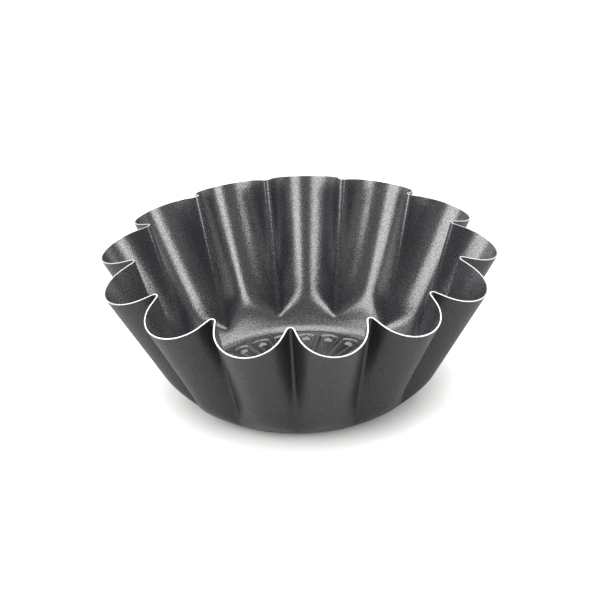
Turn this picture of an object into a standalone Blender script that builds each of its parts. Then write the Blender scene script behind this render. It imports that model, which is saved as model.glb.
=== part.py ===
"""A fluted pudding mould, pressed from one sheet of coated steel.

Run in Blender 4.5: blender --background --python part.py

The real mould has no seam, rivet, rolled wire or handle: a round blank is drawn into a
bowl, fluted, and its floor is stamped with a rosette. So the model is one sheet too. Its
middle surface is built ring by ring, from the hub of the rosette out over the floor and
up the fluted wall to the rim, and a Solidify modifier gives it the gauge of the sheet.

The mould stands on z = 0 with its axis on Z. The first inward ridge points to -Y.
All sizes are in metres and are measured to the middle of the sheet.
"""

import math

import bmesh
import bpy

# The sheet, and the height from the table to the top of the ridges
SHEET = 0.0007
HEIGHT = 0.075

# The rim. It is the edge of a round blank, so it hangs lower where the flutes stand out.
FLUTES = 13
RIM_RADIUS = 0.1
RIM_FLUTE_DEPTH = 0.0183
RIM_DROP = 0.0081
RIM_DROP_BULGE = 0.0012
RIM_FLANK = 0.005
RIM_RIDGE_ROUND = 0.0019

# The foot of the wall, where its straight lines would run into the floor
FOOT_RADIUS = 0.06155
FOOT_FLUTE_DEPTH = 0.002
FOOT_FLANK = 0.002
FOOT_RIDGE_ROUND = 0.0045

# The floor ends at a crease. Inside the crease runs the plain ring that the mould stands on.
# Outside it a plain skirt without flutes climbs to the wall, first curved, then a cone.
FLOOR_RADIUS = 0.0527
CREASE_SLOPE = math.radians(12)
SKIRT_CURVE = 0.0041
SKIRT_SLOPE = math.radians(35.5)
CREASE_RISE = 0.0004
CREASE_WIDTH = 0.0007
REST_WIDTH = 0.0006

# The bend between skirt and wall, as far as it reaches to each side of their corner
BEND_AT_LOBE = 0.0065
BEND_AT_RIDGE = 0.003

# The rosette: petals with a raised rib round each, and a raised tongue inside. All of it
# rises above the plain ring, so that nothing under it touches the table.
PETALS = 24
ROSETTE_INSET = 0.0018
ARCH_INSET = 0.003
ARCH_SAG = 0.0036
RIB_WIDTH = 0.0018
RIB_RISE = 0.0008
CHANNEL_RISE = 0.0001
TONGUE_INSET = 0.0067
TONGUE_SAG = 0.0016
TONGUE_RISE = 0.0005
TONGUE_RAMP = 0.0014
TONGUE_SHARE = 0.42
CHANNEL_SHARE = 0.7
PETAL_INNER_RADIUS = 0.016
HUB_RADIUS = 0.0115
HUB_RAMP = 0.0018

# How finely the curves are cut
ARC_STEPS = 5
ROUND_STEPS = 2
BEND_STEPS = 2
WALL_STEPS = 2
SHARP_ANGLE = math.radians(35)

COATING = (0.045, 0.047, 0.052, 1.0)


def clear_scene():
    for thing in list(bpy.data.objects):
        bpy.data.objects.remove(thing, do_unlink=True)


def coated_steel():
    """Dark non-stick coating: satin, with a little of the metal's own shine."""
    material = bpy.data.materials.new("coated_steel")
    material.use_nodes = True
    shader = material.node_tree.nodes["Principled BSDF"]
    shader.inputs["Base Color"].default_value = COATING
    shader.inputs["Metallic"].default_value = 0.35
    shader.inputs["Roughness"].default_value = 0.42
    return material


def half_scallop(lobe_radius, depth, flank, ridge_round):
    """One half of a flute in plan, from the middle of its lobe to the ridge beside it.

    A round lobe runs into a straight flank, and that into the small round of the ridge.
    Each point is (radius, azimuth from the middle of the lobe).
    """
    half_pitch = math.pi / FLUTES
    ridge_centre = lobe_radius - depth + ridge_round
    reach = ridge_centre * math.cos(half_pitch)
    apart = lobe_radius**2 + ridge_centre**2 - 2 * lobe_radius * reach
    lobe_round = (apart - ridge_round**2 - flank**2) / (2 * (lobe_radius + ridge_round - reach))
    lobe_centre = lobe_radius - lobe_round

    across_x = reach - lobe_centre
    across_y = ridge_centre * math.sin(half_pitch)
    lean = math.acos(min(1.0, (lobe_round + ridge_round) / math.hypot(across_x, across_y)))
    turn = math.atan2(across_y, across_x) - lean

    points = []
    for step in range(ARC_STEPS + 1):
        angle = turn * step / ARC_STEPS
        points.append((lobe_centre + lobe_round * math.cos(angle), lobe_round * math.sin(angle)))
    start, end = turn + math.pi, half_pitch + math.pi
    for step in range(ROUND_STEPS + 1):
        angle = start + (end - start) * step / ROUND_STEPS
        x = reach + ridge_round * math.cos(angle)
        y = across_y + ridge_round * math.sin(angle)
        points.append((x, y))
    return [(math.hypot(x, y), math.atan2(y, x)) for x, y in points]


def rim_height(radius):
    """Height of the rim: lowest on the lobes, highest on the ridges."""
    share = (RIM_RADIUS - radius) / RIM_FLUTE_DEPTH
    return HEIGHT - RIM_DROP * (1 - share) + RIM_DROP_BULGE * share * (1 - share)


def bend_tangent(rim_radius, room):
    """How far the bend reaches from its corner: widest on the lobes, within the room."""
    share = (RIM_RADIUS - rim_radius) / RIM_FLUTE_DEPTH
    return min(BEND_AT_LOBE + (BEND_AT_RIDGE - BEND_AT_LOBE) * share, 0.9 * room)


def wall_line(foot, rim):
    """The points (radius, height, azimuth) from the crease over the skirt to the rim.

    The wall is straight between its foot and the rim. Where that line would cut the cone
    of the skirt, an arc takes over, which is tangent to both.
    """
    foot_radius, foot_azimuth = foot
    rim_radius, rim_azimuth = rim
    top = rim_height(rim_radius)
    floor = SHEET / 2
    crease = floor + CREASE_RISE
    skirt_radius = FLOOR_RADIUS + SKIRT_CURVE
    skirt_height = crease + SKIRT_CURVE * math.tan((CREASE_SLOPE + SKIRT_SLOPE) / 2)
    line = [(FLOOR_RADIUS, crease), (skirt_radius, skirt_height)]

    climb = math.atan2(top - floor, rim_radius - foot_radius)
    aside = (foot_radius - skirt_radius) * math.sin(climb) + (skirt_height - floor) * math.cos(climb)
    room = aside / math.sin(climb - SKIRT_SLOPE)
    tangent = bend_tangent(rim_radius, room)
    start_radius = skirt_radius + (room - tangent) * math.cos(SKIRT_SLOPE)
    start_height = skirt_height + (room - tangent) * math.sin(SKIRT_SLOPE)
    bend = tangent / math.tan((climb - SKIRT_SLOPE) / 2)
    for step in range(BEND_STEPS + 1):
        slope = SKIRT_SLOPE + (climb - SKIRT_SLOPE) * step / BEND_STEPS
        radius = start_radius + bend * (math.sin(slope) - math.sin(SKIRT_SLOPE))
        height = start_height + bend * (math.cos(SKIRT_SLOPE) - math.cos(slope))
        line.append((radius, height))

    end_radius, end_height = line[-1]
    for step in range(1, WALL_STEPS + 1):
        share = step / WALL_STEPS
        radius = end_radius + (rim_radius - end_radius) * share
        line.append((radius, end_height + (top - end_height) * share))

    def azimuth(height):
        return foot_azimuth + (rim_azimuth - foot_azimuth) * (height - crease) / (top - crease)

    return [(radius, height, azimuth(height)) for radius, height in line]


def fluted_rings():
    """The rings of the wall from the crease up, each a list of points right round."""
    rim = half_scallop(RIM_RADIUS, RIM_FLUTE_DEPTH, RIM_FLANK, RIM_RIDGE_ROUND)
    foot = half_scallop(FOOT_RADIUS, FOOT_FLUTE_DEPTH, FOOT_FLANK, FOOT_RIDGE_ROUND)
    lines = [wall_line(*ends) for ends in zip(foot, rim)]
    shoulder = FLOOR_RADIUS - CREASE_WIDTH
    for line in lines:
        azimuth = line[0][2]
        line.insert(0, (shoulder, SHEET / 2, azimuth))
        line.insert(0, (shoulder - REST_WIDTH, SHEET / 2, azimuth))

    across = [(line, -1) for line in reversed(lines[1:])] + [(line, 1) for line in lines[:-1]]
    rings = []
    for level in range(len(lines[0])):
        ring = []
        for flute in range(FLUTES):
            middle = -math.pi / 2 + (2 * flute + 1) * math.pi / FLUTES
            for line, side in across:
                radius, height, azimuth = line[level]
                ring.append((radius, height, middle + side * azimuth))
        rings.append(ring)
    return rings


def petal_ring(radius, sag, middle, tongue, channel, rib):
    """A ring of the rosette, whose rises above the floor differ across each petal.

    The ring bows outwards over each petal by sag, as the arch of a scallop does.
    """
    columns = (
        (-CHANNEL_SHARE, channel),
        (-TONGUE_SHARE, tongue),
        (0.0, middle),
        (TONGUE_SHARE, tongue),
        (CHANNEL_SHARE, channel),
        (1.0, rib),
    )
    ring = []
    for petal in range(PETALS):
        axis = -math.pi / 2 + 2 * math.pi * petal / PETALS
        for across, rise in columns:
            drop = sag * (1 - math.sqrt(1 - across**2))
            ring.append((radius - drop, SHEET / 2 + rise, axis + across * math.pi / PETALS))
    return ring


def rosette_rings():
    """The rings of the rosette, from its hub out to the plain ring that the mould rests on."""
    half_rib = RIB_WIDTH / 2
    arch = FLOOR_RADIUS - ARCH_INSET
    tongue = FLOOR_RADIUS - TONGUE_INSET
    foot_sag = ARCH_SAG - half_rib / 3
    ramp_sag = (TONGUE_SAG + foot_sag) / 2
    low, flat, high = CHANNEL_RISE, TONGUE_RISE, RIB_RISE
    spine = (flat + high) / 2
    rows = (
        (HUB_RADIUS, 0.0, flat, flat, flat, flat),
        (HUB_RADIUS + HUB_RAMP, 0.0, low, low, low, low),
        (PETAL_INNER_RADIUS, 0.0, flat, flat, low, high),
        (tongue, TONGUE_SAG, flat, flat, low, high),
        (tongue + TONGUE_RAMP, ramp_sag, spine, low, low, high),
        (arch - half_rib, foot_sag, spine, low, low, high),
        (arch, ARCH_SAG, high, high, high, high),
        (arch + half_rib, ARCH_SAG - half_rib, 0.0, 0.0, 0.0, 0.0),
        (FLOOR_RADIUS - ROSETTE_INSET, 0.0, 0.0, 0.0, 0.0, 0.0),
    )
    return [petal_ring(*row) for row in rows]


def add_ring(mesh, ring):
    return [
        mesh.verts.new((radius * math.cos(azimuth), radius * math.sin(azimuth), height))
        for radius, height, azimuth in ring
    ]


def join_rings(mesh, inner, outer):
    """A band of faces between two rings of as many points."""
    count = len(inner)
    for index in range(count):
        after = (index + 1) % count
        mesh.faces.new((inner[index], outer[index], outer[after], inner[after]))


def azimuth_of(vertex):
    return math.atan2(vertex.co.y, vertex.co.x) % (2 * math.pi)


def zip_rings(mesh, inner, outer):
    """A band of triangles between two rings whose numbers of points differ."""
    inner = sorted(inner, key=azimuth_of)
    outer = sorted(outer, key=azimuth_of)

    def reached(ring, index):
        rounds, place = divmod(index, len(ring))
        return azimuth_of(ring[place]) + 2 * math.pi * rounds

    i = j = 0
    while i < len(inner) or j < len(outer):
        here, there = inner[i % len(inner)], outer[j % len(outer)]
        inner_next = i < len(inner) and reached(inner, i + 1) < reached(outer, j + 1)
        if inner_next or j == len(outer):
            i += 1
            mesh.faces.new((here, there, inner[i % len(inner)]))
        else:
            j += 1
            mesh.faces.new((here, there, outer[j % len(outer)]))


def middle_surface():
    """The mesh of the middle of the sheet, facing into the mould."""
    mesh = bmesh.new()
    rosette = [add_ring(mesh, ring) for ring in rosette_rings()]
    wall = [add_ring(mesh, ring) for ring in fluted_rings()]
    for rings in (rosette, wall):
        for inner, outer in zip(rings, rings[1:]):
            join_rings(mesh, inner, outer)
    zip_rings(mesh, rosette[-1], wall[0])

    centre = mesh.verts.new((0.0, 0.0, SHEET / 2 + TONGUE_RISE))
    hub = rosette[0]
    for index, corner in enumerate(hub):
        mesh.faces.new((centre, corner, hub[(index + 1) % len(hub)]))
    bmesh.ops.recalc_face_normals(mesh, faces=mesh.faces)
    return mesh


def fluted_mould():
    """The whole mould: the middle surface, thickened to the gauge of the sheet."""
    surface = middle_surface()
    data = bpy.data.meshes.new("fluted_mould")
    surface.to_mesh(data)
    surface.free()
    data.shade_smooth()
    data.set_sharp_from_angle(angle=SHARP_ANGLE)

    mould = bpy.data.objects.new("fluted_mould", data)
    bpy.context.collection.objects.link(mould)
    data.materials.append(coated_steel())
    gauge = mould.modifiers.new("gauge", "SOLIDIFY")
    gauge.thickness = SHEET
    gauge.offset = 0.0
    return mould


clear_scene()
fluted_mould()
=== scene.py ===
# %% [markdown]
# # A fluted pudding mould
#
# The object is a deep pudding or brioche mould, pressed from one round blank of thin
# steel that was coated before it was pressed. It has no seam and no second piece: thirteen
# flutes, a rosette stamped in the floor, a satin charcoal coating inside and out, and one
# bright line of bare metal where the blank was cut, which is now the rim.
#
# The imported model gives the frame. Everything below is in metres in that same frame, with
# the mould's axis on Z, its foot on z = 0 and its first inward ridge towards -Y.

import math

import bpy
import numpy as np
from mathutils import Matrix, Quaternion, Vector


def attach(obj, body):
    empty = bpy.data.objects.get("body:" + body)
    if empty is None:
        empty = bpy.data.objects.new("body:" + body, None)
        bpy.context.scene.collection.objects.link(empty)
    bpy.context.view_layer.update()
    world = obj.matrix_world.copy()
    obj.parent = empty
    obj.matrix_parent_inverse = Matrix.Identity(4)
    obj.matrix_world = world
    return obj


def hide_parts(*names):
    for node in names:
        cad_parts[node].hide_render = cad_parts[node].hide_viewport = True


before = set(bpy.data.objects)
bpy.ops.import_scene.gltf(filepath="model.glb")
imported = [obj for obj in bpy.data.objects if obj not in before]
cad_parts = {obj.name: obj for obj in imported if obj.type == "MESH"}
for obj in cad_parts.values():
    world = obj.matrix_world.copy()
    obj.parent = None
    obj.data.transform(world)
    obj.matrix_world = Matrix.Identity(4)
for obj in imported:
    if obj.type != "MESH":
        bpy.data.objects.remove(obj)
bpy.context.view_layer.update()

# %% [markdown]
# ## The camera
#
# The photograph was taken with a long lens from in front and above, about 28 degrees down.
# A long lens keeps the near and far rims almost the same size. `to_track_quat` turns the
# camera towards a point on the axis, and a small roll afterwards levels it as the
# photographer did. A Track To constraint would aim it too, but it would undo the roll.

# %% Camera
CAMERA_PLACE = Vector((0.11274, -1.88954, 1.04457))
CAMERA_AIM = Vector((0.00027, 0.0, 0.04672))
CAMERA_ROLL = math.radians(-2.131)
CAMERA_LENS_MM = 256.0
SENSOR_MM = 36.0

lens = bpy.data.cameras.new("camera")
lens.lens = CAMERA_LENS_MM
lens.sensor_width = SENSOR_MM
camera = bpy.data.objects.new("camera", lens)
bpy.context.collection.objects.link(camera)
camera.location = CAMERA_PLACE
look = (CAMERA_AIM - CAMERA_PLACE).to_track_quat("-Z", "Y")
camera.rotation_mode = "QUATERNION"
camera.rotation_quaternion = look @ Quaternion((0.0, 0.0, 1.0), CAMERA_ROLL)
bpy.context.scene.camera = camera
print("camera", round((CAMERA_AIM - CAMERA_PLACE).length, 3), "m from the mould")

# %% [markdown]
# ## The sheet and the plan of a flute
#
# In plan, each flute is a round lobe that runs into a short straight flank and then into
# the small round of the ridge between two flutes. It could be drawn as a curve by hand, but
# two circles and their common tangent say exactly the same with three numbers, so a
# function works it out. The same function serves the rim, where the flutes are deep, and
# the foot, where they have almost died away.
#
# All of these sizes are measured to the middle of the sheet, because a Solidify modifier
# will add half of the gauge to each side.

# %% Sizes of the sheet and the flutes
SHEET = 0.0007
FLUTES = 13

RIM_RADIUS = 0.1
RIM_FLUTE_DEPTH = 0.0183
RIM_FLANK = 0.005
RIM_RIDGE_ROUND = 0.0019

FOOT_RADIUS = 0.06155
FOOT_FLUTE_DEPTH = 0.002
FOOT_FLANK = 0.002
FOOT_RIDGE_ROUND = 0.0045

LOBE_STEPS = 16
FLANK_STEPS = 3
ROUND_STEPS = 5
COLUMNS = FLUTES * 2 * (LOBE_STEPS + FLANK_STEPS + ROUND_STEPS)
print(COLUMNS, "columns round the mould")


# %% Half a flute in plan
def half_flute(lobe_radius, depth, flank, ridge_round):
    """Points (radius, azimuth from the lobe's middle) from a lobe's middle to its ridge."""
    half_pitch = math.pi / FLUTES
    ridge_centre = lobe_radius - depth + ridge_round
    reach = ridge_centre * math.cos(half_pitch)
    apart = lobe_radius**2 + ridge_centre**2 - 2 * lobe_radius * reach
    lobe_round = (apart - ridge_round**2 - flank**2) / (2 * (lobe_radius + ridge_round - reach))
    lobe_centre = lobe_radius - lobe_round

    across_x = reach - lobe_centre
    across_y = ridge_centre * math.sin(half_pitch)
    lean = math.acos(min(1.0, (lobe_round + ridge_round) / math.hypot(across_x, across_y)))
    turn = math.atan2(across_y, across_x) - lean

    lobe = np.linspace(0.0, turn, LOBE_STEPS + 1)
    ridge = np.linspace(turn + math.pi, half_pitch + math.pi, ROUND_STEPS + 1)
    lobe_x, lobe_y = lobe_centre + lobe_round * np.cos(lobe), lobe_round * np.sin(lobe)
    ridge_x, ridge_y = reach + ridge_round * np.cos(ridge), across_y + ridge_round * np.sin(ridge)
    along = np.linspace(0.0, 1.0, FLANK_STEPS + 1)[1:-1]
    x = np.concatenate([lobe_x, lobe_x[-1] + (ridge_x[0] - lobe_x[-1]) * along, ridge_x])
    y = np.concatenate([lobe_y, lobe_y[-1] + (ridge_y[0] - lobe_y[-1]) * along, ridge_y])
    return np.hypot(x, y), np.arctan2(y, x)


def all_round(half, mirrored):
    """Repeats a half flute's values on both sides of each lobe, right round the mould."""
    sign = -1.0 if mirrored else 1.0
    return np.tile(np.concatenate([sign * half[:0:-1], half[:-1]]), FLUTES)


rim_radius, rim_azimuth = half_flute(RIM_RADIUS, RIM_FLUTE_DEPTH, RIM_FLANK, RIM_RIDGE_ROUND)
foot_radius, foot_azimuth = half_flute(FOOT_RADIUS, FOOT_FLUTE_DEPTH, FOOT_FLANK, FOOT_RIDGE_ROUND)
print("rim radius from", round(rim_radius.min(), 4), "to", round(rim_radius.max(), 4))

# %% [markdown]
# ## The wall
#
# In every vertical section the wall is straight from the rim down to a bend. Below the bend
# a plain round skirt runs in to a crease at the edge of the floor, so the flutes stop short
# of the floor and each ridge ends in a small pointed arch. One section is a short list of
# (radius, height) pairs, and the wall is that list repeated for each point of the flute's
# plan: a loft made by hand. A Screw modifier would be shorter, but it can only turn one
# section, and here each section has lengths of its own.
#
# A bend of one radius would put a kink into every streak of light where it starts. Here its
# curvature swells and dies away, as in sheet that was drawn over a soft edge. The flanks of
# each flute are also drawn in a little on the way down, by `pinch`, so that a streak narrows
# towards the foot. Two rings lie close under the rim, so that the smooth shading there isn't
# pulled round by the small round edge that comes later.

# %% Sections of the wall
HEIGHT = 0.075
RIM_DROP = 0.0081
RIM_DROP_BULGE = 0.0012

FLOOR_RADIUS = 0.0527
CREASE_SLOPE = math.radians(12)
CREASE_RISE = 0.0004
CREASE_WIDTH = 0.00045
REST_WIDTH = 0.0006
SKIRT_CURVE = 0.0041
SKIRT_SLOPE = math.radians(35.5)
BEND_AT_LOBE = 0.0105
BEND_AT_RIDGE = 0.003
BEND_ROOM_USED = 0.9
SKIRT_STEPS = 5
BEND_STEPS = 8
WALL_SHARES = (0.05, 0.12, 0.2, 0.3, 0.45, 0.65, 0.85, 0.98, 0.997, 1.0)

FLOOR_LEVEL = SHEET / 2
CREASE_LEVEL = FLOOR_LEVEL + CREASE_RISE


def step_up(value, start, end):
    """A soft step from 0 at start to 1 at end."""
    share = np.clip((value - start) / (end - start), 0.0, 1.0)
    return share * share * (3.0 - 2.0 * share)


def rim_height(radius):
    """The rim hangs lower where the flutes stand out, because the blank was round."""
    share = (RIM_RADIUS - radius) / RIM_FLUTE_DEPTH
    return HEIGHT - RIM_DROP * (1 - share) + RIM_DROP_BULGE * share * (1 - share)


def arc(start, slope, turn, radius, steps):
    """Points of an arc that leaves start at a slope and turns upwards."""
    slopes = slope + turn * np.linspace(0.0, 1.0, steps + 1)
    return (start[0] + radius * (np.sin(slopes) - math.sin(slope)),
            start[1] + radius * (math.cos(slope) - np.cos(slopes)))


def soft_bend(start, slope, turn, tangent, steps):
    """Points of a bend whose curvature swells and dies away, between two tangents of one length."""
    slopes = slope + turn * step_up((np.arange(steps) + 0.5) / steps, 0.0, 1.0)
    ahead_r = np.concatenate([[0.0], np.cumsum(np.cos(slopes))])
    ahead_z = np.concatenate([[0.0], np.cumsum(np.sin(slopes))])
    scale = 2 * tangent * math.cos(turn / 2) / math.hypot(ahead_r[-1], ahead_z[-1])
    return start[0] + scale * ahead_r, start[1] + scale * ahead_z


def wall_section(foot_r, rim_r):
    """(radius, height) from the crease round the floor, up the skirt, to the rim."""
    skirt_turn = SKIRT_SLOPE - CREASE_SLOPE
    skirt_round = SKIRT_CURVE / (math.sin(SKIRT_SLOPE) - math.sin(CREASE_SLOPE))
    skirt = arc((FLOOR_RADIUS, CREASE_LEVEL), CREASE_SLOPE, skirt_turn, skirt_round, SKIRT_STEPS)
    skirt_r, skirt_z = skirt[0][-1], skirt[1][-1]

    top = rim_height(rim_r)
    climb = math.atan2(top - FLOOR_LEVEL, rim_r - foot_r)
    aside = (foot_r - skirt_r) * math.sin(climb) + (skirt_z - FLOOR_LEVEL) * math.cos(climb)
    room = aside / math.sin(climb - SKIRT_SLOPE)
    share = (RIM_RADIUS - rim_r) / RIM_FLUTE_DEPTH
    tangent = min(BEND_AT_LOBE + (BEND_AT_RIDGE - BEND_AT_LOBE) * share, BEND_ROOM_USED * room)
    start_r = skirt_r + (room - tangent) * math.cos(SKIRT_SLOPE)
    start_z = skirt_z + (room - tangent) * math.sin(SKIRT_SLOPE)
    turn = climb - SKIRT_SLOPE
    bend = soft_bend((start_r, start_z), SKIRT_SLOPE, turn, tangent, BEND_STEPS)

    shares = np.array(WALL_SHARES)
    end_r, end_z = bend[0][-1], bend[1][-1]
    middle_r, middle_z = (skirt_r + start_r) / 2, (skirt_z + start_z) / 2
    return (np.concatenate([skirt[0], [middle_r], bend[0], end_r + (rim_r - end_r) * shares]),
            np.concatenate([skirt[1], [middle_z], bend[1], end_z + (top - end_z) * shares]))


lobe_section = wall_section(foot_radius.max(), rim_radius.max())
print("a section through a lobe rises from", round(lobe_section[1][0], 5), "to",
      round(lobe_section[1][-1], 4), "m")


# %% Rings of the wall
PINCH = 0.0011
PINCH_START, PINCH_FULL = 0.1, 0.32


def pinch(across, climb):
    """How far the flanks are drawn in, so that each lobe narrows like a cone on its way down.

    across is 0 in the middle of a lobe and 1 on the ridge, climb 0 at the floor, 1 at the rim.
    The factor 6.75 makes the profile 1 at its peak, two thirds of the way to the ridge.
    """
    profile = 6.75 * across**2 * (1.0 - across)
    fading = (1.0 - climb) / (1.0 - PINCH_FULL)
    return PINCH * profile * step_up(climb, PINCH_START, PINCH_FULL) * fading


def wall_rings():
    """Arrays (radius, height, azimuth), each with one row for a ring of the wall."""
    sections = [wall_section(*ends) for ends in zip(foot_radius, rim_radius)]
    radii = np.array([section[0] for section in sections]).T
    heights = np.array([section[1] for section in sections]).T
    climb = (heights - CREASE_LEVEL) / (heights[-1] - CREASE_LEVEL)
    azimuths = foot_azimuth + (rim_azimuth - foot_azimuth) * climb
    radii = radii - pinch(azimuths * FLUTES / math.pi, climb)

    middles = -math.pi / 2 + (2 * np.arange(FLUTES) + 1) * math.pi / FLUTES
    turned = np.repeat(middles, COLUMNS // FLUTES)
    return (
        np.array([all_round(row, False) for row in radii]),
        np.array([all_round(row, False) for row in heights]),
        np.array([all_round(row, True) + turned for row in azimuths]),
    )


wall = wall_rings()
print("the wall has", len(wall[0]), "rings; its rim is", round(wall[1][-1].min(), 4), "to",
      round(wall[1][-1].max(), 4), "m high")

# %% [markdown]
# ## The rosette in the floor
#
# The floor is stamped with twenty-four petals. A round-topped rib runs round each one, with
# an arch at its outer end. Inside lies a flat tongue whose outer end kicks up into a small
# nose, and a low spine ties the nose to the arch. A stamp moves the sheet up and down only,
# so the relief is a height for each place on the floor. It could be a bump texture, but it
# is deep enough to cast shade and to show on the underside, so it is real geometry.
#
# The rings of the mesh bow outwards over each petal with the arch. That way the edges of
# the mesh follow the crest of the arch, and the crest stays crisp with few faces.

# %% Sizes of the rosette
PETALS = 24
ROSETTE_EDGE = FLOOR_RADIUS - 0.0018
ARCH_RADIUS = FLOOR_RADIUS - 0.003
ARCH_SAG = 0.0036
ARCH_RAMP = 0.0018
ARCH_BACK = 0.0009
RIB_RISE = 0.0005
RIB_HALF = 0.0008
RIB_RAMP = 0.001

TONGUE_RADIUS = FLOOR_RADIUS - 0.0082
TONGUE_SAG = 0.0012
TONGUE_RISE = 0.0002
TONGUE_SHARE = 0.36
TONGUE_RAMP = 0.0009
KICK_LENGTH = 0.0021
KICK_RISE = 0.0008
KICK_DROP = 0.0006
NOSE_START = 0.0005
NOSE_LENGTH = 0.0014
NOSE_RISE = 0.0004
NOSE_HALF = 0.0013
SPINE_HALF = 0.00045
SPINE_RISE = 0.0002

PETAL_INNER_RADIUS = 0.016
HUB_RADIUS = 0.0115
HUB_RAMP = 0.0018
print("a petal is", round(2 * math.pi * ARCH_RADIUS / PETALS, 4), "m wide at its arch")


# %% The relief of a petal
def bow(across):
    """How far an arch has come down at a share of a petal's half width."""
    return 1.0 - np.sqrt(np.clip(1.0 - across**2, 0.0, 1.0))


def rosette_rise(radius, across):
    """Height of the stamped relief over the plain ring. across runs from -1 to 1."""
    half_width = radius * math.pi / PETALS
    from_rib = (1.0 - np.abs(across)) * half_width
    from_arch = ARCH_RADIUS - ARCH_SAG * bow(across) - radius
    from_middle = np.abs(across) * half_width

    rib = 1.0 - step_up(from_rib, RIB_HALF, RIB_HALF + RIB_RAMP)
    arch = np.where(from_arch > 0, 1.0 - step_up(from_arch, 0.0, ARCH_RAMP),
                    1.0 - step_up(-from_arch, 0.0, ARCH_BACK))
    inside = (from_arch > 0).astype(float)
    outline = np.maximum(arch, rib * inside)

    tongue_half = TONGUE_SHARE * half_width
    nose = 1.0 - step_up(from_middle, 0.0, NOSE_HALF)
    brow = TONGUE_RADIUS - TONGUE_SAG * bow(across)
    end = brow + NOSE_LENGTH * nose
    body = 1.0 - step_up(from_middle, tongue_half - TONGUE_RAMP / 2, tongue_half + TONGUE_RAMP / 2)
    stop = 1.0 - step_up(radius, end, end + KICK_DROP)
    kick = KICK_RISE * step_up(radius, brow - KICK_LENGTH, brow)
    tip = NOSE_RISE * nose * step_up(radius, brow - NOSE_START, brow + NOSE_LENGTH)
    tongue = body * stop * (TONGUE_RISE + kick + tip)

    spine = 1.0 - step_up(from_middle, 0.0, 2 * SPINE_HALF)
    spine = spine * step_up(radius, end - SPINE_HALF, end) * inside * SPINE_RISE
    petal = np.maximum(np.maximum(outline * RIB_RISE, tongue), spine)

    hub = 1.0 - step_up(radius, HUB_RADIUS, HUB_RADIUS + HUB_RAMP)
    opened = step_up(radius, HUB_RADIUS + HUB_RAMP, PETAL_INNER_RADIUS)
    return hub * TONGUE_RISE + opened * petal


print("an arch is", round(float(rosette_rise(ARCH_RADIUS, 0.0)), 5), "m high")

# %% Rings of the rosette
HUB_RINGS = (0.002, 0.0065, 0.0105, HUB_RADIUS, 0.0119, 0.0124, 0.0129, 0.0133)
INNER_RINGS = (0.0142, 0.0151, PETAL_INNER_RADIUS, 0.021, 0.027, 0.033, 0.038, 0.0415)
SAG_STARTS = 0.038
OUTER_RING_STEP = 0.00034
RINGS_BEHIND_ARCH = 6


def rosette_rings():
    """Arrays (radius, height, azimuth) of the floor, from the hub out to the crease."""
    columns = np.arange(COLUMNS)
    azimuth = -math.pi / 2 + 2 * math.pi * columns / COLUMNS
    per_petal = COLUMNS // PETALS
    across = ((columns + per_petal // 2) % per_petal) / (per_petal / 2) - 1.0

    outer_count = round((ARCH_RADIUS - INNER_RINGS[-1]) / OUTER_RING_STEP)
    fine = np.linspace(INNER_RINGS[-1], ARCH_RADIUS, outer_count + 1)[1:]
    behind = np.linspace(ARCH_RADIUS, ROSETTE_EDGE, RINGS_BEHIND_ARCH + 1)[1:]
    places = np.concatenate([HUB_RINGS, INNER_RINGS, fine, behind])
    sags = ARCH_SAG * step_up(places, SAG_STARTS, ARCH_RADIUS - ARCH_RAMP)
    sags = sags * (1.0 - np.clip((places - ARCH_RADIUS) / (ROSETTE_EDGE - ARCH_RADIUS), 0.0, 1.0))

    radii = places[:, None] - sags[:, None] * bow(across)[None, :]
    heights = FLOOR_LEVEL + rosette_rise(radii, across[None, :])
    return radii, heights, np.tile(azimuth, (len(places), 1))


rosette = rosette_rings()
print("the rosette has", len(rosette[0]), "rings and stands",
      round(rosette[1].max() - FLOOR_LEVEL, 5), "m proud")

# %% [markdown]
# ## From rings to a sheet
#
# The rings become one surface, the middle of the sheet. `from_pydata` builds it from lists
# of points and faces. Bridging the rings one by one would do as well, but it is slow and
# depends on what is selected. The two plain rings between rosette and skirt carry the mould
# on the table. A small step up from them makes the fine dark line that runs round the floor.
# Its two edges are marked sharp, because smooth shading across them would bend the flat
# ring's highlights as well.
#
# Two numbers are stored on each point for the materials: its distance below the rim, which
# tells where the coating has worn away, and 1 on the stamped floor. Such a number is an
# attribute, and it survives the modifiers.

# %% The middle of the sheet
def plain_rings():
    """The flat ring that the mould stands on, in the columns of the wall."""
    shoulder = FLOOR_RADIUS - CREASE_WIDTH
    radii = np.array([[shoulder - REST_WIDTH], [shoulder]]) * np.ones(COLUMNS)
    return radii, np.full(radii.shape, FLOOR_LEVEL), np.tile(wall[2][0], (2, 1))


def sheet_mesh(radii, heights, azimuths):
    """One surface through all rings, closed by a point in the middle of the hub."""
    x, y = radii * np.cos(azimuths), radii * np.sin(azimuths)
    points = [(0.0, 0.0, FLOOR_LEVEL + TONGUE_RISE)]
    points += np.stack([x, y, heights], axis=2).reshape(-1, 3).tolist()

    sides = [(here, (here + 1) % COLUMNS) for here in range(COLUMNS)]
    faces = [(0, 1 + here, 1 + there) for here, there in sides]
    for ring in range(len(radii) - 1):
        low = 1 + ring * COLUMNS
        high = low + COLUMNS
        faces += [(low + here, high + here, high + there, low + there) for here, there in sides]

    mesh = bpy.data.meshes.new("pressed_sheet")
    mesh.from_pydata(points, [], faces)
    mesh.shade_smooth()
    return mesh


radii, heights, azimuths = [np.concatenate(parts) for parts in zip(rosette, plain_rings(), wall)]
middle = sheet_mesh(radii, heights, azimuths)
print("the middle of the sheet has", len(middle.polygons), "faces")


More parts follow.
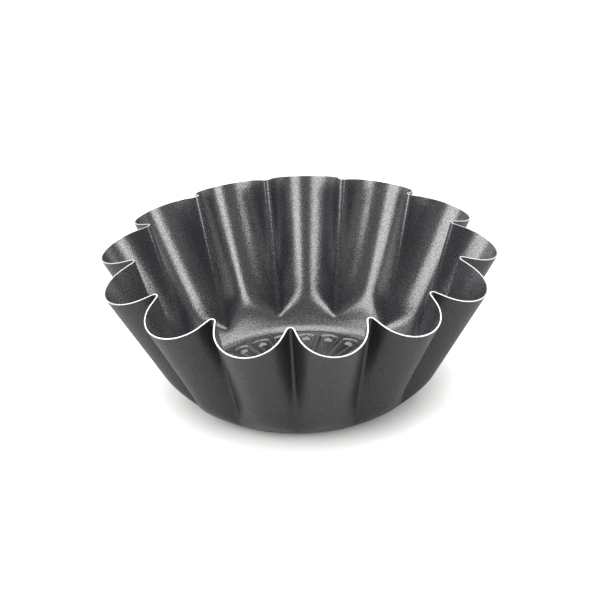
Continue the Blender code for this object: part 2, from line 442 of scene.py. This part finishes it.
# %% Marks on the sheet
def store_marks(mesh, crease_ring):
    """Stores the distance below the rim, the stamped floor, and the crease's sharp edges."""
    along = np.hypot(wall[0][-1] - radii, wall[1][-1] - heights)
    below_rim = mesh.attributes.new("below_rim", "FLOAT", "POINT")
    below_rim.data.foreach_set("value", np.concatenate([[RIM_RADIUS], along.reshape(-1)]))

    on_floor = np.arange(len(mesh.vertices)) < 1 + crease_ring * COLUMNS
    stamped = mesh.attributes.new("stamped", "FLOAT", "POINT")
    stamped.data.foreach_set("value", on_floor.astype(float))

    ends = np.array([edge.vertices[:] for edge in mesh.edges])
    ring = (ends - 1) // COLUMNS
    fold = (ring[:, 0] == ring[:, 1]) & np.isin(ring[:, 0], (crease_ring - 1, crease_ring))
    mesh.attributes.new("sharp_edge", "BOOLEAN", "EDGE").data.foreach_set("value", fold)
    return int(fold.sum())


print(store_marks(middle, len(radii) - len(wall[0])), "sharp edges at the crease")

# %% [markdown]
# ## Shared effects
#
# Three finishes share a few effects, so each effect is a node group that is built once.
# **Orange peel** is the fine skin of a baked coating: small soft grains, and among them
# specks where the coating is glossier. **Tone drift** is a slow change in shade, where the
# coating is a little thicker or has been wiped. **Cut edge** turns the stored distance below
# the rim into a mask with a ragged border, where the coating has chipped away.

# %% Helpers for node groups
def new_group(name, inputs, outputs):
    """A node group with float sockets: inputs is {name: default}, outputs a list of names."""
    group = bpy.data.node_groups.new(name, "ShaderNodeTree")
    for socket_name, default in inputs.items():
        socket = group.interface.new_socket(socket_name, in_out="INPUT", socket_type="NodeSocketFloat")
        socket.default_value = default
    for socket_name in outputs:
        group.interface.new_socket(socket_name, in_out="OUTPUT", socket_type="NodeSocketFloat")
    return group, group.nodes.new("NodeGroupInput"), group.nodes.new("NodeGroupOutput")


def add_node(tree, kind, **settings):
    """Adds a node, sets its properties, and sets the inputs given as a dict called values."""
    node = tree.nodes.new(kind)
    for socket_name, value in settings.pop("values", {}).items():
        node.inputs[socket_name].default_value = value
    for attribute, value in settings.items():
        setattr(node, attribute, value)
    return node


def set_inputs(tree, node, operands):
    """Sets or links inputs: operands is {place or name of an input: number or output socket}."""
    for place, operand in operands.items():
        if isinstance(operand, (int, float)):
            node.inputs[place].default_value = operand
        else:
            tree.links.new(operand, node.inputs[place])


def math_node(tree, operation, first, second, clamp=False):
    """A Math node whose operands are sockets or plain numbers. Returns its output."""
    node = add_node(tree, "ShaderNodeMath", operation=operation, use_clamp=clamp)
    set_inputs(tree, node, {0: first, 1: second})
    return node.outputs[0]


def map_range(tree, value, low, high, to_low, to_high):
    """A soft ramp from to_low, where value is low, to to_high, where it is high."""
    node = add_node(tree, "ShaderNodeMapRange", interpolation_type="SMOOTHSTEP")
    tree.links.new(value, node.inputs["Value"])
    set_inputs(tree, node, {"From Min": low, "From Max": high, "To Min": to_low, "To Max": to_high})
    return node.outputs["Result"]


# %% Orange peel
FINER = 1.3
SPECK_FROM, SPECK_TO = 0.4, 0.6


def orange_peel_group():
    """The coating's skin: its height, in soft grains of about Grain metres, and its specks."""
    defaults = {"Grain": 0.001, "Fine": 0.35}
    group, given, result = new_group("orange_peel", defaults, ["Height", "Specks"])
    place = add_node(group, "ShaderNodeTexCoord")
    per_metre = math_node(group, "DIVIDE", 1.0, given.outputs["Grain"])

    grains = add_node(group, "ShaderNodeTexNoise", values={"Detail": 2.0, "Roughness": 0.55})
    group.links.new(place.outputs["Object"], grains.inputs["Vector"])
    group.links.new(per_metre, grains.inputs["Scale"])

    finer = math_node(group, "MULTIPLY", per_metre, FINER)
    skin = add_node(group, "ShaderNodeTexNoise", values={"Detail": 1.0})
    group.links.new(place.outputs["Object"], skin.inputs["Vector"])
    group.links.new(finer, skin.inputs["Scale"])

    share = math_node(group, "MULTIPLY", skin.outputs["Fac"], given.outputs["Fine"])
    group.links.new(math_node(group, "ADD", grains.outputs["Fac"], share), result.inputs["Height"])
    specks = map_range(group, skin.outputs["Fac"], SPECK_FROM, SPECK_TO, 0.0, 1.0)
    group.links.new(specks, result.inputs["Specks"])
    return group


peel = orange_peel_group()
print("effect:", peel.name)


# %% Tone drift
CLOUD_FROM, CLOUD_TO = 0.3, 0.7


def around_one(tree, value, amount):
    """Turns a value that runs from 0 to 1 into one that swings round 1 by half of amount."""
    swing = math_node(tree, "MULTIPLY", math_node(tree, "SUBTRACT", value, 0.5), amount)
    return math_node(tree, "ADD", swing, 1.0)


def tone_drift_group():
    """A slow value around 1 that multiplies a colour, and a mask for the roughness."""
    group, given, result = new_group("tone_drift", {"Patch": 0.03, "Amount": 0.2}, ["Tone", "Mask"])
    place = add_node(group, "ShaderNodeTexCoord")
    per_metre = math_node(group, "DIVIDE", 1.0, given.outputs["Patch"])
    cloud = add_node(group, "ShaderNodeTexNoise",
                     values={"Detail": 4.0, "Roughness": 0.6, "Distortion": 0.4})
    group.links.new(place.outputs["Object"], cloud.inputs["Vector"])
    group.links.new(per_metre, cloud.inputs["Scale"])

    mask = map_range(group, cloud.outputs["Fac"], CLOUD_FROM, CLOUD_TO, 0.0, 1.0)
    group.links.new(around_one(group, mask, given.outputs["Amount"]), result.inputs["Tone"])
    group.links.new(mask, result.inputs["Mask"])
    return group


drift = tone_drift_group()
print("effect:", drift.name)


# %% Cut edge
CHIPS_PER_METRE = 600.0
CHIP_SOFTNESS = 1.3


def cut_edge_group():
    """1 where the coating has gone, from the rim down to about Reach metres below it."""
    group, given, result = new_group("cut_edge", {"Reach": 0.0003, "Ragged": 0.5}, ["Bare"])
    below = add_node(group, "ShaderNodeAttribute", attribute_name="below_rim")
    place = add_node(group, "ShaderNodeTexCoord")
    chips = add_node(group, "ShaderNodeTexNoise", values={"Scale": CHIPS_PER_METRE, "Detail": 2.0})
    group.links.new(place.outputs["Object"], chips.inputs["Vector"])
    ragged = around_one(group, chips.outputs["Fac"], given.outputs["Ragged"])
    reach = math_node(group, "MULTIPLY", ragged, given.outputs["Reach"])
    soft = math_node(group, "MULTIPLY", reach, CHIP_SOFTNESS)
    bare = map_range(group, below.outputs["Fac"], reach, soft, 1.0, 0.0)
    group.links.new(bare, result.inputs["Bare"])
    return group


edge = cut_edge_group()
print("effect:", edge.name)

# %% [markdown]
# ## The coating
#
# The coating is a dark baked resin. It is no metal, so its own colour is a deep charcoal
# and its highlights are pale and neutral. Inside it is glossier than outside and shows clear
# soft streaks of the lamps. The streaks are full of fine bright grains. A strong bump could
# make them, but it would also tear the edges of each streak, so most of the grain comes from
# the specks: they carry a second, glossier coat over the first. The stamp has smoothed the
# coating on the floor, so there are fewer specks there.
#
# One function makes both sides, and each has its own colour, gloss, roughness and specks.
# Close to the rim the cut edge group swaps the coating for bare steel.

# %% Helpers for materials
BARE_STEEL = (0.86, 0.86, 0.85, 1.0)
BARE_ROUGHNESS = 0.3
SPECK_GLOSS = 1.78
SPECK_ROUGHNESS = 0.3
STAMPED_SPECKS = 0.25
SKIN_GRAIN = 0.0009
SKIN_DEPTH = 0.00008
CHIP_REACH = 0.00008
ROUGHNESS_SWING = 0.03
MIX_COLOUR_A, MIX_COLOUR_B, MIX_COLOUR_RESULT = 6, 7, 2


def place_group(tree, group, **values):
    """Places a node group and sets its inputs by their names."""
    node = tree.nodes.new("ShaderNodeGroup")
    node.node_tree = group
    for socket_name, value in values.items():
        node.inputs[socket_name].default_value = value
    return node


def blend_value(tree, factor, low, high):
    """low where factor is 0 and high where it is 1."""
    node = add_node(tree, "ShaderNodeMix", data_type="FLOAT")
    set_inputs(tree, node, {"Factor": factor, "A": low, "B": high})
    return node.outputs["Result"]


def new_material(name):
    """A material with its node tree and its Principled shader."""
    material = bpy.data.materials.new(name)
    material.use_nodes = True
    return material, material.node_tree, material.node_tree.nodes["Principled BSDF"]


def toned_colour(tree, colour, tones):
    """The colour, a little lighter or darker from place to place."""
    tinted = add_node(tree, "ShaderNodeVectorMath", operation="SCALE")
    tinted.inputs[0].default_value = colour
    tree.links.new(tones.outputs["Tone"], tinted.inputs["Scale"])
    return tinted.outputs[0]


def add_relief(tree, shader, height, strength, distance):
    """Tilts the shading by a height, without moving the surface."""
    relief = add_node(tree, "ShaderNodeBump", values={"Strength": strength, "Distance": distance})
    tree.links.new(height, relief.inputs["Height"])
    tree.links.new(relief.outputs["Normal"], shader.inputs["Normal"])


# %% The two coated sides
def coated_steel(name, colour, gloss, roughness, specks):
    """The coating, with bare steel near the rim. gloss is the index of refraction."""
    material, tree, shader = new_material(name)
    shader.inputs["IOR"].default_value = gloss
    shader.inputs["Coat IOR"].default_value = SPECK_GLOSS
    shader.inputs["Coat Roughness"].default_value = SPECK_ROUGHNESS

    tones = place_group(tree, drift, Patch=0.02, Amount=0.3)
    bare = place_group(tree, edge, Reach=CHIP_REACH, Ragged=0.8).outputs["Bare"]
    skin = place_group(tree, peel, Grain=SKIN_GRAIN, Fine=0.4)

    shade = add_node(tree, "ShaderNodeMix", data_type="RGBA")
    tree.links.new(bare, shade.inputs["Factor"])
    tree.links.new(toned_colour(tree, colour, tones), shade.inputs[MIX_COLOUR_A])
    shade.inputs[MIX_COLOUR_B].default_value = BARE_STEEL
    tree.links.new(shade.outputs[MIX_COLOUR_RESULT], shader.inputs["Base Color"])

    smoothest, roughest = roughness - ROUGHNESS_SWING, roughness + ROUGHNESS_SWING
    coat_roughness = blend_value(tree, tones.outputs["Mask"], smoothest, roughest)
    shown_roughness = blend_value(tree, bare, coat_roughness, BARE_ROUGHNESS)
    tree.links.new(shown_roughness, shader.inputs["Roughness"])
    tree.links.new(bare, shader.inputs["Metallic"])

    stamped = add_node(tree, "ShaderNodeAttribute", attribute_name="stamped").outputs["Fac"]
    most = blend_value(tree, stamped, specks, specks * STAMPED_SPECKS)
    most = math_node(tree, "MULTIPLY", most, math_node(tree, "SUBTRACT", 1.0, bare))
    second_coat = math_node(tree, "MULTIPLY", skin.outputs["Specks"], most)
    tree.links.new(second_coat, shader.inputs["Coat Weight"])

    add_relief(tree, shader, skin.outputs["Height"], strength=1.0, distance=SKIN_DEPTH)
    return material


inner_coat = coated_steel("inner_coat", colour=(0.032, 0.0337, 0.044), gloss=1.98, roughness=0.21,
                          specks=1.0)
outer_coat = coated_steel("outer_coat", colour=(0.0155, 0.016, 0.0225), gloss=1.62, roughness=0.37,
                          specks=0.3)
print("coatings:", inner_coat.name, outer_coat.name)

# %% [markdown]
# ## The cut edge
#
# At the rim the sheet was trimmed after pressing, so a bright line of bare steel runs right
# round, with the fine marks of the trimming wheel on it. The orange peel group makes these
# marks too, with a much finer grain. They only vary the roughness and the relief, because
# bare metal takes its look from what it reflects.

# %% Bare steel
MARK_GRAIN = 0.0002
MARK_DEPTH = 0.00003
MARKS_FROM, MARKS_TO = 0.4, 1.0
CUT_SMOOTHEST, CUT_ROUGHEST = 0.22, 0.4


def bare_steel():
    """Steel with fine marks, which make it rougher where they stand up."""
    material, tree, shader = new_material("bare_steel")
    shader.inputs["Metallic"].default_value = 1.0
    tones = place_group(tree, drift, Patch=0.004, Amount=0.12)
    tree.links.new(toned_colour(tree, BARE_STEEL[:3], tones), shader.inputs["Base Color"])

    marks = place_group(tree, peel, Grain=MARK_GRAIN, Fine=0.5)
    height = marks.outputs["Height"]
    roughness = map_range(tree, height, MARKS_FROM, MARKS_TO, CUT_SMOOTHEST, CUT_ROUGHEST)
    tree.links.new(roughness, shader.inputs["Roughness"])
    add_relief(tree, shader, height, strength=0.6, distance=MARK_DEPTH)
    return material


cut_steel = bare_steel()
print("cut edge:", cut_steel.name)

# %% [markdown]
# ## The pressed mould
#
# The surface so far is only the middle of the sheet. Solidify gives it its gauge and hands
# out the materials: one slot for the inside, the next for the outside, the third for the
# cut edge. It could also be modelled as two surfaces, but one surface and a gauge can never
# drift apart. Bevel then takes the sharp corners off the cut edge, as the press and the
# trimming wheel do. It works only where faces meet at a steep angle, which is the rim.

# %% The mould
MOULD_NODE = "fluted_mould"
OUTER_SLOT, CUT_SLOT = 1, 2
EDGE_ROUND = 0.00012
EDGE_STEPS = 2
STEEP_CORNER = math.radians(60)

mould = bpy.data.objects.new("pressed_mould", middle)
bpy.context.collection.objects.link(mould)
for finish in (inner_coat, outer_coat, cut_steel):
    middle.materials.append(finish)

gauge = mould.modifiers.new("gauge", "SOLIDIFY")
gauge.thickness = SHEET
gauge.offset = 0.0
gauge.material_offset = OUTER_SLOT
gauge.material_offset_rim = CUT_SLOT

corners = mould.modifiers.new("corners", "BEVEL")
corners.limit_method = "ANGLE"
corners.angle_limit = STEEP_CORNER
corners.width = EDGE_ROUND
corners.segments = EDGE_STEPS
corners.material = CUT_SLOT

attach(mould, "root")
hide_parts(MOULD_NODE)
ready = mould.evaluated_get(bpy.context.evaluated_depsgraph_get()).to_mesh()
ready.calc_loop_triangles()
print("the mould has", len(ready.loop_triangles), "triangles")

# %% [markdown]
# ## The floor
#
# The mould stands on a plain white studio table. The floor is an ordinary matt white that
# catches the shadow. Rays from the camera, and rays that a shiny surface sends out, also
# see some light from the floor itself, so that it reads white while the object is lit no
# more than it should be. Shiny surfaces see only a fifth of it, which is enough to make
# their picture of the floor white. Ambient occlusion takes that extra light away where the
# mould is near, so the shadow stays dark and tight at the foot.

# %% Floor
FLOOR_WIDTH = 12.0
FLOOR_GAP = 0.0001
FLOOR_COLOUR = (0.8, 0.8, 0.8, 1.0)
FLOOR_ROUGHNESS = 0.9
WHITE = (1.0, 1.0, 1.0, 1.0)
FLOOR_LIFT = 0.86
FLOOR_LIFT_IN_GLOSS = 0.2
CONTACT_REACH = 0.02


def seen_rays(tree, in_gloss):
    """1 for rays from the camera, and in_gloss for rays that come by way of gloss or glass."""
    rays = tree.nodes.new("ShaderNodeLightPath").outputs
    bent = math_node(tree, "ADD", rays["Is Glossy Ray"], rays["Is Transmission Ray"], clamp=True)
    share = math_node(tree, "MULTIPLY", bent, in_gloss)
    return math_node(tree, "ADD", rays["Is Camera Ray"], share, clamp=True)


def floor_material():
    """Matt white with a light of its own that only the camera and glossy rays see."""
    material, tree, shader = new_material("studio_floor")
    shader.inputs["Base Color"].default_value = FLOOR_COLOUR
    shader.inputs["Roughness"].default_value = FLOOR_ROUGHNESS
    shader.inputs["Specular IOR Level"].default_value = 0.0
    shader.inputs["Emission Color"].default_value = WHITE
    nearby = add_node(tree, "ShaderNodeAmbientOcclusion", values={"Distance": CONTACT_REACH})
    glow = math_node(tree, "MULTIPLY", nearby.outputs["AO"], FLOOR_LIFT)
    lift = math_node(tree, "MULTIPLY", seen_rays(tree, FLOOR_LIFT_IN_GLOSS), glow)
    tree.links.new(lift, shader.inputs["Emission Strength"])
    return material


half_floor = FLOOR_WIDTH / 2
floor_mesh = bpy.data.meshes.new("floor")
floor_corners = [(x * half_floor, y * half_floor, -FLOOR_GAP)
                 for x, y in ((-1, -1), (1, -1), (1, 1), (-1, 1))]
floor_mesh.from_pydata(floor_corners, [], [(0, 1, 2, 3)])
floor_mesh.materials.append(floor_material())
floor = bpy.data.objects.new("floor", floor_mesh)
bpy.context.collection.objects.link(floor)
print("floor", FLOOR_WIDTH, "m wide")

# %% [markdown]
# ## The light
#
# The streaks inside the flutes tell where the lamps stood. Each lobe shows two: one from a
# large softbox on the left, the other from a narrower one on the right. Both are tall and
# reach down to the table, so the streaks run on into the bend. The skirt round the far side
# of the floor is lit by a third softbox, high up behind the mould. The lamps are a little
# warm. They could be placed by eye, but here each softbox is placed by its direction and its
# angular size as the mould sees it, and its strength is a radiance, the brightness of its
# face, because that is what a highlight shows.

# %% Softboxes
LAMP_DISTANCE = 3.0
LAMP_COLOUR = (1.0, 0.982, 0.94)
AIM = Vector((0.0, 0.0, 0.04))
AMBIENT = 0.12


def softbox(name, azimuth, elevation, wide, tall, radiance):
    """Adds a softbox and returns how much light it gives a level surface.

    The angles are in degrees. azimuth 0 is on the camera's side, at -Y, and grows to the right.
    """
    azimuth, elevation, wide, tall = (math.radians(v) for v in (azimuth, elevation, wide, tall))
    aside = math.cos(elevation)
    towards = Vector((math.sin(azimuth) * aside, -math.cos(azimuth) * aside, math.sin(elevation)))
    lamp = bpy.data.lights.new(name, "AREA")
    lamp.shape = "RECTANGLE"
    lamp.color = LAMP_COLOUR
    lamp.size = 2 * LAMP_DISTANCE * math.tan(wide / 2)
    lamp.size_y = 2 * LAMP_DISTANCE * math.tan(tall / 2)
    lamp.energy = radiance * math.pi * lamp.size * lamp.size_y
    holder = bpy.data.objects.new(name, lamp)
    bpy.context.collection.objects.link(holder)
    holder.location = AIM + towards * LAMP_DISTANCE
    holder.rotation_euler = towards.to_track_quat("Z", "Y").to_euler()
    holder.visible_camera = False
    return radiance * wide * tall * math.sin(elevation)


level = math.pi * AMBIENT
level += softbox("softbox_left", azimuth=-59, elevation=25, wide=50, tall=50, radiance=3.4)
level += softbox("softbox_right", azimuth=46, elevation=21, wide=27, tall=42, radiance=3.8)
level += softbox("softbox_top", azimuth=180, elevation=71, wide=76, tall=38, radiance=2.0)
print("light on the floor, where 1 shows a colour as written:", round(level / math.pi, 2))

# %% [markdown]
# ## The room
#
# The world is the white room round the table. It gives the mould only a little light of its
# own, but the camera and shiny surfaces see it white, and darker on the camera's side, where
# a studio has no white walls. Light Path tells these kinds of ray apart. A white wall of
# real geometry would do as well, but it would also light the mould.

# %% World
ROOM_STRENGTH = 0.4
ROOM_FADE = (-0.1, 0.15)

world = bpy.data.worlds.new("studio")
bpy.context.scene.world = world
world.use_nodes = True
air = world.node_tree
ambient = air.nodes["Background"]
ambient.inputs["Color"].default_value = WHITE
ambient.inputs["Strength"].default_value = AMBIENT
backdrop = add_node(air, "ShaderNodeBackground", values={"Color": WHITE})
direction = add_node(air, "ShaderNodeTexCoord")
split = add_node(air, "ShaderNodeSeparateXYZ")
air.links.new(direction.outputs["Generated"], split.inputs[0])
shown = map_range(air, split.outputs["Y"], *ROOM_FADE, ROOM_STRENGTH, 1.0)
air.links.new(shown, backdrop.inputs["Strength"])
choice = air.nodes.new("ShaderNodeMixShader")
air.links.new(seen_rays(air, 1.0), choice.inputs["Fac"])
air.links.new(ambient.outputs[0], choice.inputs[1])
air.links.new(backdrop.outputs[0], choice.inputs[2])
air.links.new(choice.outputs[0], air.nodes["World Output"].inputs["Surface"])
print("room: white behind the mould,", ROOM_STRENGTH, "on the camera's side")

# %% [markdown]
# ## Finish
#
# The plain Standard view shows each colour as it was written. A filmic view would soften the
# highlights, but it would turn the white floor grey.

# %% Finish
scene = bpy.context.scene
scene.view_settings.view_transform = "Standard"
